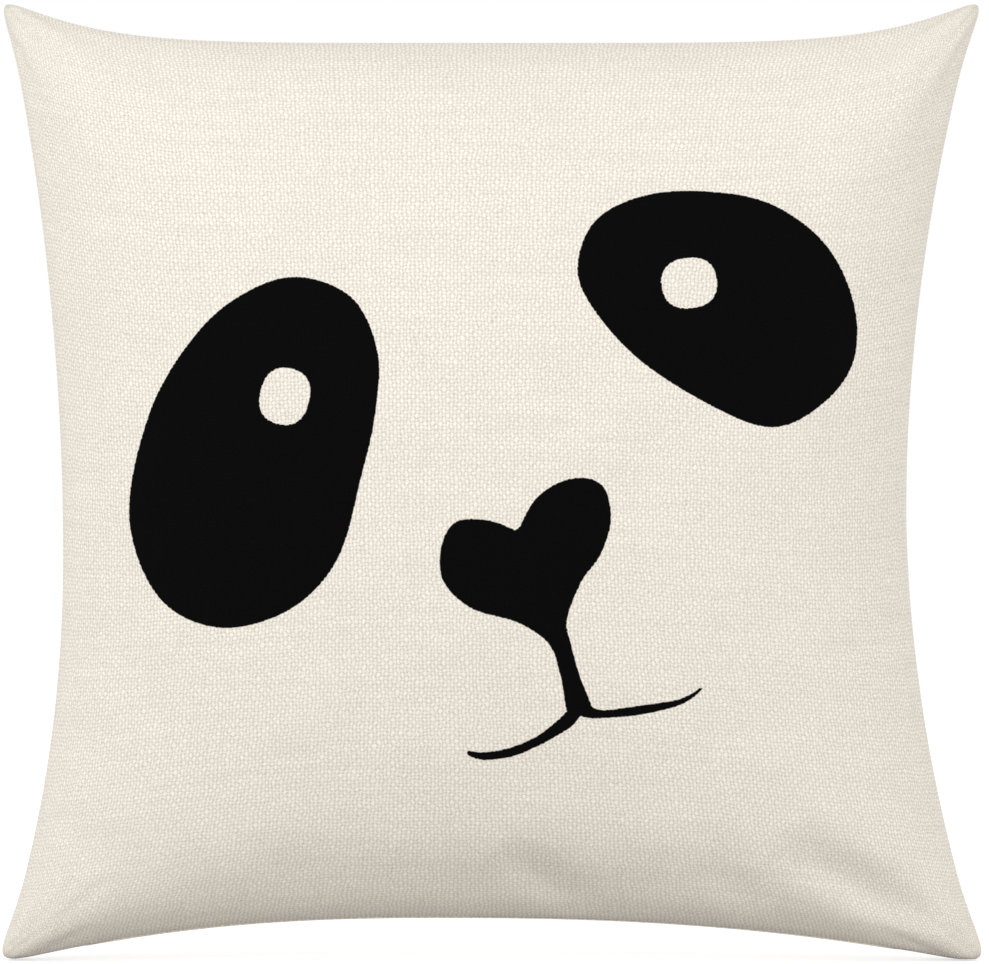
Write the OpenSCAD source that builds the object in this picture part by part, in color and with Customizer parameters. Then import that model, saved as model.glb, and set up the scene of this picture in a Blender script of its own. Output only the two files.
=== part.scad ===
// Square throw cushion: a sewn two-panel cover with a zip in its lower seam, on a fibre-filled insert.
// It stands on its two lower corners: the printed front faces -Y, up is +Z, and the floor is z = 0.

/* [Cover] */
// Width across the two lower corners
cover_w_bottom = 455; // [380:1:550]
// Width across the two upper corners
cover_w_top = 452; // [375:1:545]
// Height from the resting corners to the upper corners
cover_h = 442; // [368:1:535]
// Thickness at the fullest point
cover_depth = 150; // [110:1:185]
// Thickness of the woven cover fabric
fabric_t = 0.8; // [0.5:0.1:1.4]
// Width of the seam allowance turned to the inside
seam_allowance = 12; // [8:0.5:15]
// Half thickness of the soft corner ears
ear_half = 6; // [4:0.5:9]

/* [Edges drawn in by the filling] */
// Left edge, at its middle
pull_left = 29; // [10:1:38]
// Where the left edge is drawn in most, from -1 at its lower end to 1 at its upper end
left_mid = -0.18; // [-0.3:0.02:0.3]
// Right edge, at its middle
pull_right = 35.5; // [10:0.5:42]
// Where the right edge is drawn in most, in the same way
right_mid = -0.06; // [-0.3:0.02:0.3]
// Upper edge, at its middle
pull_top = 18.5; // [8:0.5:26]
// Lower edge above the floor, at its highest point
pull_bottom = 20; // [12:0.5:26]
// Highest point of the lower edge, to the right of the middle
arch_x = -24; // [-40:1:40]
// How far the corner ears flatten on the floor
ear_flat = 3.5; // [1.5:0.5:5]

/* [Zip] */
// Length of the closed coils
zip_len = 270; // [180:2:290]
// Width of the slot in the lower seam that the zip closes
zip_slot = 8; // [7.5:0.25:11]
// Width of each zip tape
tape_w = 11; // [9:0.5:13]
// Thickness of each zip tape
tape_t = 0.6; // [0.4:0.1:0.8]
// Height of the coils
coil_h = 1.6; // [1.2:0.1:2.2]
// Distance from one tooth to the next
tooth_pitch = 2; // [1.6:0.2:3]
// Length of the slider
slider_len = 10; // [8:0.5:14]
// Length of the pull tab below its hinge pin
pull_len = 5; // [5:0.5:9]
// Radius of the pull's hinge pin
pin_r = 0.55; // [0.4:0.05:0.7]

/* [Insert] */
// Thickness of the insert's casing
casing_t = 0.5; // [0.3:0.1:0.8]
// Clearance between the cover and the insert
insert_gap = 0.9; // [0.9:0.1:2]
// Clearance between the casing and the fibre
fill_gap = 0.2; // [0.2:0.1:0.6]

/* [Hidden] */

half_w = cover_w_bottom / 2;
half_h = cover_h / 2;
half_depth = cover_depth / 2;
GRID = 22; // cells along each side of a panel
CROWN_FLAT = 2.5; // how much the fullest point is flattened where it lies on a surface
LEFT_POWER = 2.0; // how square each drawn-in edge is: higher is flatter in the middle
RIGHT_POWER = 1.9;
TOP_POWER = 4.5;
BOTTOM_POWER = 2.4;
BULGE_POWER = 0.45;
EDGE_POWER = 0.1;
PRESS = 0.01; // what is left of a height that the floor takes away
FIT = 0.3; // clearance between soft pieces
MOVE_FIT = 0.2; // clearance round the slider and its pull

tape_y = zip_slot / 2; // outer face of each tape, on the turned seam allowance
coil_y = tape_y - tape_t; // inner face of each tape, which carries the coil
zip_z = pull_bottom + 0.5; // underside of the coils
zip_top = zip_z + tape_w;
zip_half = zip_len / 2;
tape_half = zip_half + 8;
SLOT_SPARE = 30; // the slot keeps its full width this far past the tapes, or further on a wide cover
slot_full = tape_half + max(SLOT_SPARE, 0.131 * half_w);
slot_ramp = 20; // and closes over this length
seam_start = slot_full + slot_ramp;

plate_t = 1; // the slider's two plates
slider_y = coil_y - FIT;
post_x = zip_half;
post_w = 1.6;
lug_drop = 1.4; // from the lower plate to the hinge pin
lug_half = 0.9;
lug_r = 1.3;
pin_x = post_x - slider_len / 2;
pin_z = zip_z - MOVE_FIT - plate_t - lug_drop;
pull_half = 2.5;
pull_t = 1.2;
stop_len = 2;
tooth_w = tooth_pitch * 0.45;
tooth_reach = 0.5; // how far a tooth passes the middle
spine_y = 1.2;
thread_d = 0.4;
stitch_in = 1.6; // from the fold to the line of stitches
insert_in = seam_allowance + 2; // the insert's outline, inside the cover's
insert_low = max(zip_top + 1, pull_bottom + seam_allowance + 0.5); // above the tapes and the allowance

function mix(a, b, t) = a + (b - a) * t;
// Grid lines are closer together near the edges, where the cushion turns.
function spread(i) = sin(90 * (2 * i / GRID - 1));

// Outline: each edge bows inwards from its corners by a power curve.
function corner_x(v) = mix(cover_w_bottom, cover_w_top, (1 + v) / 2) / 2;
function from_mid(v, mid) = abs(v - mid) / (1 - mid * sign(v - mid));
function left_x(v) = -corner_x(v) + pull_left * (1 - pow(from_mid(v, left_mid), LEFT_POWER));
function right_x(v) = corner_x(v) - pull_right * (1 - pow(from_mid(v, right_mid), RIGHT_POWER));
function top_z(u) = cover_h - pull_top * (1 - pow(abs(u), TOP_POWER));
function from_arch(x) = abs(x - arch_x) / (half_w - arch_x * sign(x - arch_x));
function bottom_z(u) = (pull_bottom + ear_flat) * (1 - pow(min(1, from_arch(u * half_w)), BOTTOM_POWER))
  - ear_flat;
function plan_x(u, v) = mix(left_x(v), right_x(v), (1 + u) / 2);
function plan_z(u, v) = mix(bottom_z(u), top_z(u), (1 + v) / 2);
// The same place drawn in by d from every edge
function drawn_u(u, d) = u * (1 - d / half_w);
function drawn_v(v, d) = v * (1 - d / half_h);
// The ears' weight presses what would lie below the floor almost flat on it.
function pressed(z, d) = z < d ? d + (z - d + ear_flat) * PRESS : z + ear_flat * PRESS;
function plan(u, v, d) = [plan_x(drawn_u(u, d), drawn_v(v, d)),
  pressed(plan_z(drawn_u(u, d), drawn_v(v, d)), d)];

// Bulge: half the thickness at a place, full in the middle and thin at the ears.
function ring(u, v) = max(abs(u), abs(v));
function fullness(u, v) = pow((1 - u * u) * (1 - v * v), BULGE_POWER);
function bulge(u, v) = ring(u, v) >= 1 ? 0 : min(half_depth,
  mix(ear_half, half_depth + CROWN_FLAT, fullness(u, v)) * pow(1 - pow(ring(u, v), 8), EDGE_POWER));

// The seam lies in the middle plane, and parts into a slot along the zip.
function slot_open(x) = max(0, min(1, (seam_start - abs(x)) / slot_ramp));
function seam_y(u, v) = v > -1 ? 0 : tape_y * slot_open(u * half_w);

// The places round the edge of the grid, one after another
function edge_uv() = concat(
  [for (i = [0:GRID - 1]) [spread(i), -1]], [for (i = [0:GRID - 1]) [1, spread(i)]],
  [for (i = [0:GRID - 1]) [-spread(i), 1]], [for (i = [0:GRID - 1]) [-1, -spread(i)]]);
function edge_index(base) = concat(
  [for (i = [0:GRID - 1]) base + i], [for (i = [0:GRID - 1]) base + i * (GRID + 1) + GRID],
  [for (i = [0:GRID - 1]) base + GRID * (GRID + 1) + GRID - i],
  [for (i = [0:GRID - 1]) base + (GRID - i) * (GRID + 1)]);
// Each cell's diagonal runs out towards the nearest corner of the panel.
function grid_faces(base) = [for (j = [0:GRID - 1], i = [0:GRID - 1], half = [0, 1])
  let (a = base + j * (GRID + 1) + i, b = a + 1, c = a + GRID + 1, d = c + 1,
    falling = (i < GRID / 2) != (j < GRID / 2))
  half == 0 ? [a, b, falling ? c : d] : [falling ? b : a, d, c]];
function turned(faces) = [for (f = faces) [f[2], f[1], f[0]]];
function band_faces(from, to) = let (n = len(from)) [for (i = [0:n - 1], half = [0, 1])
  let (k = (i + 1) % n) half == 0 ? [from[i], to[k], to[i]] : [from[i], from[k], to[k]]];
function count_from(base, n) = [for (i = [0:n - 1]) base + i];

// A cover panel: the bulging skin, and the seam allowance turned inwards behind its fold
module cover_panel() {
  uv = edge_uv();
  cells = GRID + 1;
  outer = [for (j = [0:GRID], i = [0:GRID]) let (u = spread(i), v = spread(j), p = plan(u, v, 0))
    [p[0], -max(bulge(u, v), seam_y(u, v) + fabric_t), p[1]]];
  inner = [for (j = [0:GRID], i = [0:GRID]) let (u = spread(i), v = spread(j), p = plan(u, v, fabric_t))
    [p[0], -max(bulge(u, v) - fabric_t, seam_y(u, v) + fabric_t), p[1]]];
  fold = [for (e = uv) let (p = plan(e[0], e[1], 0)) [p[0], -seam_y(e[0], e[1]), p[1]]];
  hem_back = [for (e = uv) let (p = plan(e[0], e[1], seam_allowance)) [p[0], -seam_y(e[0], e[1]), p[1]]];
  hem_front = [for (p = hem_back) p - [0, fabric_t, 0]];
  n = len(uv);
  first = cells * cells;
  at_fold = count_from(2 * first, n);
  at_back = count_from(2 * first + n, n);
  at_front = count_from(2 * first + 2 * n, n);
  polyhedron(points = concat(outer, inner, fold, hem_back, hem_front), faces = concat(
    turned(grid_faces(0)), grid_faces(first), band_faces(edge_index(0), at_fold),
    band_faces(at_fold, at_back), band_faces(at_back, at_front),
    band_faces(at_front, edge_index(first))), convexity = 6);
}

// The insert's surface: it follows the cover inside, sits above the zip and rounds over to its own seam.
function insert_point(u, v, d) = let (us = drawn_u(u, insert_in + d),
  z = mix(insert_low + d, top_z(us) - insert_in - d, (1 + v) / 2),
  vs = 2 * (z - bottom_z(us)) / (top_z(us) - bottom_z(us)) - 1,
  room = bulge(us, vs) - fabric_t - insert_gap - d)
  [plan_x(us, vs), -room * pow(1 - pow(ring(u, v), 8), 0.25), z];
function insert_grid(d) = [for (j = [0:GRID], i = [0:GRID]) insert_point(spread(i), spread(j), d)];

module casing_panel() {
  first = (GRID + 1) * (GRID + 1);
  polyhedron(points = concat(insert_grid(0), insert_grid(casing_t)), faces = concat(
    turned(grid_faces(0)), grid_faces(first), band_faces(edge_index(0), edge_index(first))), convexity = 6);
}

// A flat strip that follows the sewn seam from one end of the slot round to the other, between two depths
// It leaves out the place just above each lower corner, which the floor presses down beside the corner.
function pressed_place(e) = e[1] > -1 && e[1] <= spread(1);
function sewn(e) = e[1] > -1 ? !pressed_place(e) : abs(e[0]) * half_w >= seam_start;
function seam_order() = let (uv = [for (e = edge_uv()) if (sewn(e)) e]) concat(
  [for (e = uv) if (e[1] > -1 || e[0] > 0) e], [for (e = uv) if (e[1] <= -1 && e[0] < 0) e]);
module seam_strip(d_out, d_in, y_low, y_high) {
  way = seam_order();
  n = len(way);
  out_line = [for (e = way) plan(e[0], e[1], d_out)];
  in_line = [for (i = [n - 1:-1:0]) plan(way[i][0], way[i][1], d_in)];
  translate([0, y_high, 0]) rotate([90, 0, 0])
    linear_extrude(height = y_high - y_low) polygon(concat(out_line, in_line));
}

module cover_front() {
  color("ivory") cover_panel();
}
module cover_back() {
  color("antiquewhite") mirror([0, 1, 0]) cover_panel();
}
module seam_thread() {
  color("wheat") {
    seam_strip(stitch_in, stitch_in + 2 * thread_d, -fabric_t - thread_d, -fabric_t);
    seam_strip(stitch_in, stitch_in + 2 * thread_d, fabric_t, fabric_t + thread_d);
  }
}
module overlock_edge() {
  color("linen") seam_strip(seam_allowance + FIT, seam_allowance + FIT + 1.2,
    -fabric_t - thread_d, fabric_t + thread_d);
}

module zip_tape() {
  translate([-tape_half, -tape_y, zip_z]) cube([2 * tape_half, tape_t, tape_w]);
}
module zip_tape_front() {
  color("floralwhite") zip_tape();
}
module zip_tape_back() {
  color("floralwhite") mirror([0, 1, 0]) zip_tape();
}
module zip_stitching() {
  stitch_z = zip_z + tape_w * 0.6;
  for (side = [-1, 1])
    color("wheat") translate([0, side * (coil_y - thread_d / 2), stitch_z])
      cube([2 * tape_half - 4, thread_d, 0.5], center = true);
}

// One coil, as a comb: a spine along the tape, and teeth that pass the middle
module zip_coil(shift) {
  start = -zip_half + shift;
  finish = post_x - post_w / 2 - MOVE_FIT;
  teeth = floor((finish - start - tooth_w) / tooth_pitch);
  comb = concat([[-zip_half, -coil_y], [finish, -coil_y], [finish, -spine_y]],
    [for (k = [teeth:-1:0]) let (x = start + k * tooth_pitch)
      each [[x + tooth_w, -spine_y], [x + tooth_w, tooth_reach], [x, tooth_reach], [x, -spine_y]]],
    [[-zip_half, -spine_y]]);
  translate([0, 0, zip_z]) linear_extrude(height = coil_h) polygon(comb);
}
module zip_coil_front() {
  color("whitesmoke") zip_coil(0.1);
}
module zip_coil_back() {
  color("whitesmoke") mirror([0, 1, 0]) zip_coil(0.1 + tooth_pitch / 2);
}
module zip_top_stops() {
  nose = post_x + 2;
  for (side = [0, 1])
    color("silver") mirror([0, side, 0]) translate([nose + MOVE_FIT, -coil_y, zip_z])
      cube([stop_len, coil_y - 0.4, coil_h]);
}
module zip_bottom_stop() {
  color("silver") translate([-zip_half - stop_len - MOVE_FIT, -coil_y, zip_z])
    cube([stop_len, 2 * coil_y, coil_h]);
}

// The slider: a plate above and below the coils, the post that parts them, and the lug for the pull
module zip_slider() {
  nose = post_x + 2;
  low = zip_z - MOVE_FIT - plate_t;
  high = zip_z + coil_h + MOVE_FIT;
  color("silver") difference() {
    union() {
      translate([nose - slider_len, -slider_y, low]) cube([slider_len, 2 * slider_y, plate_t]);
      translate([nose - slider_len, -slider_y, high]) cube([slider_len, 2 * slider_y, plate_t]);
      translate([post_x - post_w / 2, -post_w / 2, low]) cube([post_w, post_w, high + plate_t - low]);
      translate([pin_x - lug_r, -lug_half, pin_z]) cube([2 * lug_r, 2 * lug_half, low - pin_z]);
      translate([pin_x, lug_half, pin_z]) rotate([90, 0, 0]) cylinder(r = lug_r, h = 2 * lug_half, $fn = 32);
    }
    translate([pin_x, lug_half + 1, pin_z]) rotate([90, 0, 0])
      cylinder(r = pin_r + 0.05, h = 2 * lug_half + 2, $fn = 32);
  }
}

// The pull: two ears either side of the lug, the pin through it and the short tab below
module zip_pull() {
  ear_t = pull_half - lug_half - MOVE_FIT;
  tab_top = pin_z - lug_r - MOVE_FIT;
  color("silver") {
    for (side = [0, 1]) mirror([0, side, 0]) {
      translate([pin_x, -lug_half - MOVE_FIT, pin_z]) rotate([90, 0, 0])
        cylinder(r = pin_r + 0.45, h = ear_t, $fn = 32);
      translate([pin_x - pull_t / 2, -pull_half, tab_top - 0.2])
        cube([pull_t, ear_t, pin_z - tab_top + 0.2]);
    }
    translate([pin_x, pull_half, pin_z]) rotate([90, 0, 0]) cylinder(r = pin_r, h = 2 * pull_half, $fn = 32);
    translate([pin_x - pull_t / 2, -pull_half, pin_z - pull_len])
      cube([pull_t, 2 * pull_half, tab_top - pin_z + pull_len]);
  }
}

module insert_casing_front() {
  color("white") casing_panel();
}
module insert_casing_back() {
  color("white") mirror([0, 1, 0]) casing_panel();
}
// The fibre: one closed solid, its front half and its mirror image meeting in the middle plane
module insert_fill() {
  size = casing_t + fill_gap;
  front = insert_grid(size);
  back = [for (p = front) [p[0], -p[1], p[2]]];
  first = len(front);
  is_edge = [for (j = [0:GRID], i = [0:GRID]) i == 0 || j == 0 || i == GRID || j == GRID];
  // the back grid's edge points are the front grid's own
  own = [for (k = [0:first - 1]) is_edge[k] ? k : first + k];
  back_faces = [for (f = grid_faces(0)) [own[f[0]], own[f[1]], own[f[2]]]];
  color("snow") polyhedron(points = concat(front, back),
    faces = concat(turned(grid_faces(0)), back_faces), convexity = 4);
}

cover_front();
cover_back();
seam_thread();
overlock_edge();
zip_tape_front();
zip_tape_back();
zip_stitching();
zip_coil_front();
zip_coil_back();
zip_top_stops();
zip_bottom_stop();
zip_slider();
zip_pull();
insert_casing_front();
insert_casing_back();
insert_fill();
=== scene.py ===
"""Square linen-look throw cushion with a printed panda face: its cloth, print, seams, zip and filling.

Everything is in metres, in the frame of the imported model: the printed front faces -Y, up is +Z and the
floor is z = 0. The cover's shape is worked out on a square grid of (s, t), each from -1 to 1, which are
the cloth's own flat coordinates, so a weave laid out on them follows the cloth.
"""

import math

import bpy
import numpy as np
from bpy.props import FloatProperty, FloatVectorProperty, IntProperty, PointerProperty
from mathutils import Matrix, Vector


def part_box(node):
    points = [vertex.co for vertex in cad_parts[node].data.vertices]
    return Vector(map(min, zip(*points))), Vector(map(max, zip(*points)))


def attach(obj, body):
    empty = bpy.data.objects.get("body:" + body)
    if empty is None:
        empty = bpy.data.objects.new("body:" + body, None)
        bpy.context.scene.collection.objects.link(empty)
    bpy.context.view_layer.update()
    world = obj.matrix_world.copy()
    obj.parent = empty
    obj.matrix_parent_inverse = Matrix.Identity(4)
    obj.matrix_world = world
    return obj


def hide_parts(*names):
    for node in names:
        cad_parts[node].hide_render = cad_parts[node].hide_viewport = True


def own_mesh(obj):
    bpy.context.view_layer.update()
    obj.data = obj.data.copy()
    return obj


bl_info = {
    "name": "Panda print cushion",
    "version": (1, 0, 0),
    "blender": (4, 5, 0),
    "location": "View3D > Sidebar > Cushion",
    "description": "Builds a zipped throw cushion with a printed face around its packed model",
    "category": "Add Mesh",
}

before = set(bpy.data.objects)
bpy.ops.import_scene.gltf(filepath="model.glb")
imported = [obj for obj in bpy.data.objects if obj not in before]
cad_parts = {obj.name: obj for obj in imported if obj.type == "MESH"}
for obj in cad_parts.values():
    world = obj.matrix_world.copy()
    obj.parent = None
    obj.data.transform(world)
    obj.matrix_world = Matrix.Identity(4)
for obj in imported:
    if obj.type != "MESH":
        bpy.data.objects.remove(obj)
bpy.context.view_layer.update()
COVER_LOW, COVER_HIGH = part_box("cover_front")
TAPE_LOW, TAPE_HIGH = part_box("zip_tape_front")
COIL_LOW, COIL_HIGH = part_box("zip_coil_front")
MM = 0.001


# ---------------------------------------------------------------- settings


class CushionShape(bpy.types.PropertyGroup):
    """Sizes of the cover and of how the filling draws it in"""

    width_bottom: FloatProperty(
        name="Width at the floor", description="Between the two lower corners",
        default=COVER_HIGH.x - COVER_LOW.x, unit="LENGTH")
    width_top: FloatProperty(
        name="Width at the top", description="Between the two upper corners",
        default=COVER_HIGH.x - COVER_LOW.x - 3 * MM, unit="LENGTH")
    height: FloatProperty(
        name="Height", description="From the floor to the upper corners",
        default=COVER_HIGH.z - COVER_LOW.z, unit="LENGTH")
    half_depth: FloatProperty(
        name="Half thickness", description="From the seam to the fullest point",
        default=-COVER_LOW.y, unit="LENGTH")
    pull_left: FloatProperty(
        name="Left edge drawn in", description="At the middle of the left edge",
        default=29 * MM, unit="LENGTH")
    pull_right: FloatProperty(
        name="Right edge drawn in", description="At the middle of the right edge",
        default=35.5 * MM, unit="LENGTH")
    pull_top: FloatProperty(
        name="Upper edge drawn in", description="At the middle of the upper edge",
        default=18.5 * MM, unit="LENGTH")
    pull_bottom: FloatProperty(
        name="Lower edge lifted", description="Its highest point above the floor",
        default=20 * MM, unit="LENGTH")
    arch_x: FloatProperty(
        name="Arch of the lower edge", description="Where the lower edge is highest",
        default=-24 * MM, unit="LENGTH")
    ear_rise: FloatProperty(
        name="Ear rise", description="How far square upper corners would stand above the rounded ones",
        default=6 * MM, unit="LENGTH")
    ear_flare: FloatProperty(
        name="Ear flare", description="How far square ears would reach out past the rounded ones",
        default=4.8 * MM, unit="LENGTH")
    ear_half: FloatProperty(
        name="Ear half thickness", description="Half the thickness of the soft corners",
        default=9 * MM, unit="LENGTH")
    fold_radius: FloatProperty(
        name="Fold radius", description="Radius of the cloth's fold into the seam",
        default=1.5 * MM, unit="LENGTH")
    flat_size: FloatProperty(
        name="Flat size", description="Side of the finished cover when it lies flat and empty",
        default=457 * MM, unit="LENGTH")
    seam_allowance: FloatProperty(
        name="Seam allowance", description="Width of cloth turned to the inside",
        default=12 * MM, unit="LENGTH")
    cells: IntProperty(
        name="Cells", description="Cells along each side of a finished panel", default=200)


class CushionSewing(bpy.types.PropertyGroup):
    """Threads and stitches"""

    thread: FloatProperty(
        name="Thread", description="Diameter of the sewing threads", default=0.4 * MM, unit="LENGTH")
    pitch: FloatProperty(
        name="Stitch", description="Length of one stitch", default=3 * MM, unit="LENGTH")
    stitch_in: FloatProperty(
        name="Stitch line", description="From the fold of the cloth to the seam's stitches",
        default=2 * MM, unit="LENGTH")
    overlock_width: FloatProperty(
        name="Overlock width", description="How far the overlock thread reaches in from the raw edges",
        default=4.5 * MM, unit="LENGTH")


class CushionCloth(bpy.types.PropertyGroup):
    """Yarns and colours of the cover"""

    yarn_pitch: FloatProperty(
        name="Yarn pitch", description="From one yarn to the next",
        default=1.7 * MM, unit="LENGTH")
    cloth_colour: FloatVectorProperty(
        name="Cloth", description="Tops of the yarns", subtype="COLOR", size=3,
        default=(0.91, 0.862, 0.785), min=0, max=1)
    # Painted shade: the weave's colour down between the yarns, where they shade each other
    painted_pore_shade: FloatVectorProperty(
        name="Pores", description="Shade between the yarns", subtype="COLOR", size=3,
        default=(0.64, 0.585, 0.5), min=0, max=1)
    ink_colour: FloatVectorProperty(
        name="Ink", description="The print on the front", subtype="COLOR", size=3,
        default=(0.0012, 0.0012, 0.0012), min=0, max=1)


class CushionStage(bpy.types.PropertyGroup):
    """Camera and light"""

    camera_distance: FloatProperty(
        name="Camera distance", description="From the seam plane", default=2.2, unit="LENGTH")
    view_width: FloatProperty(
        name="View width", description="What the camera sees at the seam plane",
        default=0.4570, unit="LENGTH")
    view_x: FloatProperty(
        name="View centre, across", description="Where the camera points", default=1.2 * MM,
        unit="LENGTH")
    view_z: FloatProperty(
        name="View centre, up", description="Where the camera points", default=220.8 * MM,
        unit="LENGTH")
    key_power: FloatProperty(
        name="Key light", description="Power of the soft light on the left",
        default=29.0, unit="POWER")
    fill_power: FloatProperty(
        name="Fill light", description="Power of the soft light on the right", default=19.5, unit="POWER")
    back_power: FloatProperty(
        name="Back light", description="Power of the soft light behind", default=14.0, unit="POWER")
    room_light: FloatProperty(
        name="Room light", description="Strength of the even light all round", default=0.7)


# ---------------------------------------------------------------- shape of the cover

LEFT_POWER = 2.0
RIGHT_POWER = 1.9
LEFT_MID = -0.18  # where a side edge is drawn in most, from -1 at its lower end to 1 at its upper end
RIGHT_MID = -0.06
TOP_POWER = 5.7
BOTTOM_POWER = 2.4
BULGE_POWER = 0.52
EDGE_POWER = 0.2
CROWN_FLAT = 2.5 * MM
EAR_FLAT = 3.5 * MM
EAR_FROM = 0.8  # the ears flare sideways from here to their tips at 1
CORNER_POWER = 34  # how tightly the outline turns round its corners
CORNER_FADE = 12  # how fast that rounding fades towards the middle
ROUND_OVER = 16  # how near to the seam the cloth turns in
CROWN_EASE = 1.5 * MM  # the crown flattens softly over this height
SLOT_HALF = -TAPE_LOW.y
SLOT_PAST = 39 * MM  # the slot stays full this far past the closed coils
SLOT_FULL = COIL_HIGH.x + SLOT_PAST
SLOT_RAMP = 20 * MM  # and narrows to nothing over this length
FLOOR_GAP = 0.8 * MM  # the lower ears stand this far above the floor
SEAM_GAP = 0.45 * MM  # from the seam plane to the face of each turned allowance
CLOTH = 0.7 * MM  # thickness of the cover's cloth
FLOOR_GLOW = 0.6  # what the floor shows by itself, where 1 is white
FLOOR_HALF = 6.0
LIGHT_SIZE = 1.5
THREAD_SIDES = 6
STEPS_A_STITCH = 6
FAR_OFF = 50.0  # a print distance that is far from any ink, in millimetres


def mix(a, b, f):
    return a + (b - a) * f


def bowed(t, middle, power):
    """1 at the middle of an edge and 0 at its ends, by a power curve; middle may lie off the centre."""
    side = np.where(t > middle, 1 - middle, 1 + middle)
    return 1 - np.clip(np.abs(t - middle) / side, 0, 1) ** power


def rounded(u, v):
    """The square of (u, v) with round corners: its edge becomes the superellipse |u|^p + |v|^p = 1, and
    places well inside it stay put."""
    high, low = np.maximum(np.abs(u), np.abs(v)), np.minimum(np.abs(u), np.abs(v))
    turn = (1 + (low / np.maximum(high, 1e-9)) ** CORNER_POWER) ** (-1 / CORNER_POWER)
    turn = mix(1, turn, high**CORNER_FADE)
    return u * turn, v * turn


def outline(u, v, shape):
    """x and z of a place (u, v), counted from rounded corners: each edge bows in from its corners by a
    power curve and the places between are in proportion."""
    corner = mix(shape.width_bottom, shape.width_top, (1 + v) / 2) / 2
    corner = corner + shape.ear_flare * np.clip((np.abs(v) - EAR_FROM) / (1 - EAR_FROM), 0, 1) ** 2
    left = -corner + shape.pull_left * bowed(v, LEFT_MID, LEFT_POWER)
    right = corner - shape.pull_right * bowed(v, RIGHT_MID, RIGHT_POWER)
    rise = shape.ear_rise
    top = shape.height + rise - (shape.pull_top + rise) * bowed(u, 0, TOP_POWER)
    arch = 2 * shape.arch_x / shape.width_bottom
    bottom = (shape.pull_bottom + EAR_FLAT) * bowed(u, arch, BOTTOM_POWER) - EAR_FLAT
    return mix(left, right, (1 + u) / 2), mix(bottom, top, (1 + v) / 2)


def bulge(u, v, shape):
    """Half the thickness at (u, v): full in the middle, thin at the ears, round over at the edges."""
    full = np.clip((1 - u * u) * (1 - v * v), 0, 1) ** BULGE_POWER
    ring = (np.abs(u) ** CORNER_POWER + np.abs(v) ** CORNER_POWER) ** (1 / CORNER_POWER)
    edge = (1 - np.clip(ring, 0, 1) ** ROUND_OVER) ** EDGE_POWER
    height = mix(shape.ear_half, shape.half_depth + CROWN_FLAT, full) * edge
    over = (height - shape.half_depth + CROWN_EASE) / (2 * CROWN_EASE)
    eased = shape.half_depth - CROWN_EASE * (1 - np.clip(over, 0, 1)) ** 2
    return np.where(over > 0, np.minimum(eased, shape.half_depth), height)


def by_arc(count, shape, across):
    """Places along one middle line of the cover, spaced evenly along the cloth and not along the chord."""
    fine = np.sin(np.linspace(-1, 1, 4001) * math.pi / 2)
    still = np.zeros_like(fine)
    u, v = (fine, still) if across else (still, fine)
    x, z = outline(u, v, shape)
    y = bulge(u, v, shape)
    steps = np.sqrt(np.diff(x) ** 2 + np.diff(y) ** 2 + np.diff(z) ** 2)
    arc = np.concatenate([[0], np.cumsum(steps)])
    return np.interp(np.linspace(0, arc[-1], count), arc, fine)


def panel_grid(cells, shape, inset=0.0, thinner=0.0):
    """The cover's front surface as an array of rows of points, drawn in by inset all round."""
    u1 = by_arc(cells + 1, shape, True) * (1 - 2 * inset / shape.width_bottom)
    v1 = by_arc(cells + 1, shape, False) * (1 - 2 * inset / shape.height)
    u, v = rounded(*np.meshgrid(u1, v1))
    x, z = outline(u, v, shape)
    y = -np.maximum(bulge(u, v, shape) - thinner, 0)
    return np.stack([x, y, z], axis=-1)


def slot_half(x):
    """Half the width of the slot that the lower seam leaves along the zip."""
    return SLOT_HALF * np.clip((SLOT_FULL + SLOT_RAMP - np.abs(x)) / SLOT_RAMP, 0, 1)


def loop_of(grid):
    """The edge points of a grid, one after another: along the bottom, up the right side and back."""
    return np.concatenate([grid[0, :-1], grid[:-1, -1], grid[-1, :0:-1], grid[:0:-1, 0]])


def loop_indices(rows):
    return loop_of(np.arange(rows * rows).reshape(rows, rows))


def grid_quads(rows, start=0):
    """Quads of a square grid whose faces look towards -Y."""
    k = np.arange(rows * rows).reshape(rows, rows) + start
    return np.stack([k[:-1, :-1], k[:-1, 1:], k[1:, 1:], k[1:, :-1]], axis=-1).reshape(-1, 4)


def band_quads(inner, outer):
    """Quads between two closed loops of indices; outer lies outside or behind inner."""
    return np.stack([outer, np.roll(outer, -1), np.roll(inner, -1), inner], axis=-1)


# ---------------------------------------------------------------- cloth simulation

MASK_SLOPE = 12  # how fast moves of the cloth grow from its sewn edge
SIM_CELLS = 90
SIM_FRAMES = 26
SIM_OUT = 7 * MM  # the cloth may move this far outwards,
SIM_IN = 2.5 * MM  # inwards
SIM_ASIDE = 5 * MM  # and sideways
WAVES = 24
WAVE_LENGTHS = (30, 90)  # in millimetres
WAVE_HEIGHT = 0.12 * MM


def wear_folds(grid, seed):
    """Where the cloth starts off flat: faint even waves that the simulation turns into folds."""
    draw = np.random.default_rng(seed)
    out = np.zeros(grid.shape[:2])
    for _ in range(WAVES):
        turn = draw.uniform(0, math.pi)
        length = draw.uniform(*WAVE_LENGTHS) * MM
        phase = draw.uniform(0, 2 * math.pi)
        way = grid[..., 0] * math.cos(turn) + grid[..., 2] * math.sin(turn)
        out += np.sin(way * 2 * math.pi / length + phase)
    return out * WAVE_HEIGHT


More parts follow.
